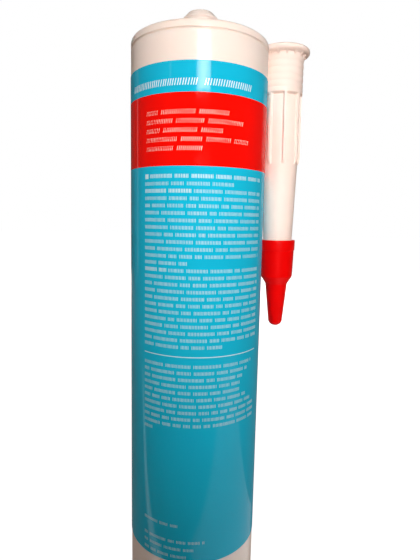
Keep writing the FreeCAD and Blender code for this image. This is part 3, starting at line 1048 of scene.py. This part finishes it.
@dataclass(frozen=True)
class Cap:
    """The closed cap over the nozzle's tip and lower cone."""

    size: CapSize
    nozzle: NozzleSize
    stored: StoredFrame

    def outline(self) -> np.ndarray:
        """The outline from the closed end's outside up to the rim and down the inside.

        The closed end is a quarter ellipse round a small flat: radius by sin t, height by 1 - cos t.

        Returns:
            Points (radius, height in the nozzle's frame), in mm.
        """
        size, nozzle = self.size, self.nozzle
        rim = nozzle.cone_at(size.start) + size.clearance + size.wall
        band_end, band = size.start + size.band_length, rim - size.band_taper
        skirt, skirt_end = band - size.band_step, size.start + size.skirt_length
        skirt_low = skirt - size.skirt_taper * (skirt_end - band_end)
        spout, spout_start = nozzle.tip_base + size.spout_wall, skirt_end + size.chamfer_length
        inner_end = nozzle.tip_end + size.end_clearance
        outer_end = inner_end + size.end_thickness
        tip = nozzle.tip_radius + size.tip_wall
        inner_cone = nozzle.cone_at(nozzle.cone_end) + size.clearance
        turn = np.linspace(0, math.pi / 2, size.dome_points)
        dome = np.stack([size.dome_flat + (tip - size.dome_flat) * np.sin(turn),
                         size.dome_length * (1 - np.cos(turn)) - outer_end], axis=-1)
        rest = rounded_outline([
            Corner(tip, size.dome_length - outer_end),
            Corner(spout, -spout_start, ROUND_EDGE),
            Corner(skirt_low, -skirt_end, WIDE_EDGE),
            Corner(skirt, -band_end - size.band_step, CRISP_EDGE),
            Corner(band, -band_end, CRISP_EDGE),
            Corner(rim, -size.start, SOFT_EDGE),
            Corner(rim - size.wall, -size.start, SOFT_EDGE),
            Corner(inner_cone, -nozzle.cone_end - size.end_clearance, SOFT_EDGE),
            Corner(nozzle.tip_base + size.clearance, -nozzle.tip_start - size.end_clearance, SOFT_EDGE),
            Corner(nozzle.tip_radius + size.clearance, -inner_end, SOFT_EDGE),
            Corner(POLE_RADIUS, -inner_end),
        ])
        return np.vstack([[[POLE_RADIUS, -outer_end]], dome, rest[1:]])

    def build(self, material: Material) -> None:
        """Builds the cap on the nozzle."""
        outline = subdivided(self.outline(), self.size.longest_step)
        grid = turned_grid(outline[:, :1], outline[:, 1], even_angles(self.size.columns))
        piece = grid_object("cap_shell", self.stored.place(grid), wrap_rows=False)
        publish(piece, material, Body.CAP, Slot.CAP, "nozzle_cap")


# Studio
@dataclass(frozen=True)
class SoftBox:
    """An area light: place and aim in metres, width and height, power, spread in degrees and colour.

    Only a mirrored one shows as a highlight; the others light without one.
    """

    name: str
    place: Triple
    aim: Triple
    size: Pair
    power: float
    spread: float = 180.0
    colour: str = WHITE
    mirrored: bool = False


@dataclass(frozen=True)
class CameraSize:
    """The camera fitted to the photograph: place and nearest sight in metres, lens and sensor in mm."""

    place: Triple = (0.0, -0.17537, 0.153)
    right: Triple = (0.99941, -0.02758, 0.02058)
    up: Triple = (-0.01668, 0.13463, 0.99076)
    lens: float = 29.2
    sensor: float = 36.0
    nearest: float = 0.005


WARM_WHITE = "#FFF3EC"
SOFT_BOXES = (
    SoftBox("key_box", (0.035, -0.32, 0.175), (0.014, 0.0, 0.17), (0.14, 0.10), 0.084, 54.0, WARM_WHITE),
    SoftBox("top_box", (0.01, -0.24, 0.46), (0.014, 0.0, 0.21), (0.10, 0.08), 0.013, 40.0, WARM_WHITE),
    SoftBox("front_window", (0.11, -1.0, 0.57), (0.0, 0.0, 0.33), (0.4, 0.22), 0.25, 32.0, mirrored=True),
    SoftBox("side_strip", (-0.73, -0.68, 0.55), (0.0, 0.0, 0.18), (0.03, 0.20), 0.08, mirrored=True),
    SoftBox("left_strip", (-0.87, 0.50, 0.30), (0.0, 0.0, 0.14), (0.06, 0.60), 0.12, mirrored=True),
    SoftBox("table_card", (0.143, -0.083, 0.009), (0.0, 0.0, 3.0), (0.125, 0.27), 0.085, mirrored=True),
    SoftBox("table_strip", (-0.15, 0.004, 0.009), (0.005, -0.051, 3.0), (0.012, 0.24), 0.013,
            mirrored=True),
    SoftBox("back_box_right", (0.3, 1.05, 0.4), (0.0, 0.0, 0.12), (0.5, 0.5), 5.5),
    SoftBox("back_box_left", (-0.3, 1.05, 0.4), (0.0, 0.0, 0.12), (0.5, 0.5), 4.5),
)


class Studio:
    """The pale floor, the soft boxes, the white surround and the camera."""

    floor_half = 4.0
    floor_bounce = "#A8866E"
    floor_seen = "#AAAAAA"
    floor_lift = (0.88, 0.98)
    floor_lift_reach = (0.08, 0.5)
    fill_strength = 0.11
    fill_colour = "#FFE7D6"
    mirrored_strength = 0.12

    def seen_share(self, tree: NodeTree) -> NodeSocket:
        """How far a ray sees the backdrop: 1 for camera rays, less for mirrored ones, 0 for the rest."""
        path = add_node(tree, "LightPath").outputs
        mirrored = combined(tree, "MAXIMUM", path["Is Glossy Ray"], path["Is Transmission Ray"])
        dimmed = combined(tree, "MULTIPLY", mirrored, self.mirrored_strength)
        return combined(tree, "MAXIMUM", path["Is Camera Ray"], dimmed)

    def floor(self) -> None:
        """Lays a pale floor that reads white to the camera and still takes the shadow."""
        half = self.floor_half
        corners = [(-half, -half, 0), (half, -half, 0), (half, half, 0), (-half, half, 0)]
        mesh = bpy.data.meshes.new("floor")
        mesh.from_pydata(corners, [], [(0, 1, 2, 3)])
        floor = linked("floor", mesh)
        material = bpy.data.materials.new("studio_floor")
        tree = empty_tree(material)
        seen = self.seen_share(tree)
        tone = mixed(tree, seen, self.floor_bounce, self.floor_seen)
        diffuse = add_node(tree, "BsdfDiffuse", {"Color": tone})
        place = add_node(tree, "TexCoord").outputs["Object"]
        away = add_node(tree, "VectorMath", {0: place}, operation="LENGTH").outputs["Value"]
        level = mapped(tree, away, self.floor_lift_reach, self.floor_lift)
        lift = combined(tree, "MULTIPLY", seen, level)
        glow = add_node(tree, "Emission", {"Strength": lift})
        both = add_node(tree, "AddShader", {0: diffuse.outputs[0], 1: glow.outputs[0]})
        add_node(tree, "OutputMaterial", {"Surface": both.outputs[0]})
        mesh.materials.append(material)

    def surround(self) -> None:
        """Surrounds the object with soft light that the camera sees as white."""
        world = bpy.data.worlds.new("studio")
        bpy.context.scene.world = world
        tree = empty_tree(world)
        strength = mapped(tree, self.seen_share(tree), (0.0, 1.0), (self.fill_strength, 1.0))
        camera_ray = add_node(tree, "LightPath").outputs["Is Camera Ray"]
        tint = mixed(tree, camera_ray, self.fill_colour, WHITE)
        sky = add_node(tree, "Background", {"Color": tint, "Strength": strength})
        add_node(tree, "OutputWorld", {"Surface": sky.outputs[0]})

    def soft_box(self, box: SoftBox) -> None:
        """Hangs one soft box."""
        light = bpy.data.lights.new(box.name, "AREA")
        light.shape = "RECTANGLE"
        light.size, light.size_y = box.size
        light.energy = box.power
        light.spread = math.radians(box.spread)
        light.color = linear_rgb(box.colour)
        lamp = linked(box.name, light)
        lamp.visible_glossy = box.mirrored
        lamp.visible_camera = False
        place, aim = Vector(box.place), Vector(box.aim)
        turn = (aim - place).to_track_quat("-Z", "Y").to_matrix().to_4x4()
        lamp.matrix_world = Matrix.Translation(place) @ turn

    def camera(self, size: CameraSize) -> None:
        """Sets up the fitted camera."""
        data = bpy.data.cameras.new("camera")
        data.lens, data.sensor_width = size.lens, size.sensor
        data.clip_start = size.nearest
        camera = linked("camera", data)
        right, up = Vector(size.right).normalized(), Vector(size.up)
        back = right.cross(up).normalized()
        up = back.cross(right)
        turn = Matrix((right, up, back)).transposed().to_4x4()
        camera.matrix_world = Matrix.Translation(size.place) @ turn
        bpy.context.scene.camera = camera

    def build(self) -> None:
        """Builds the whole studio."""
        self.floor()
        self.surround()
        for box in SOFT_BOXES:
            self.soft_box(box)
        self.camera(CameraSize())
        bpy.context.scene.view_settings.view_transform = "Standard"


def repaint(node: str, material: Material) -> None:
    """Gives a CAD node that stays in the picture its real material."""
    piece = frame["nodes"][node]
    for material_slot in piece.material_slots:
        material_slot.material = material
    LOG.info("%s: CAD node, material %s", node, material.name)


def main() -> None:
    """Builds every piece, its material and the studio."""
    logging.basicConfig(level=logging.INFO, format="%(name)s %(message)s")
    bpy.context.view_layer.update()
    barrel_size, nozzle_size = BarrelSize(), NozzleSize()
    stored = StoredFrame(frame["record"])
    Barrel(barrel_size, ThreadSize()).build(make_material(WHITE_POLYETHYLENE))
    Sealant(SealantSize(), barrel_size).build(make_material(SEALANT_PASTE))
    Label(LabelSize()).build(*(make_material(finish) for finish in (
        CYAN_FILM, RED_FILM, WHITE_INK, PALE_INK, PINK_INK)))
    Nozzle(nozzle_size, stored).build(make_material(NATURAL_POLYETHYLENE))
    Cap(CapSize(), nozzle_size, stored).build(make_material(RED_POLYETHYLENE))
    repaint("piston", make_material(MATT_POLYETHYLENE))
    repaint("glue_dots", make_material(HOT_MELT))
    Studio().build()


if __name__ == "__main__":
    main()
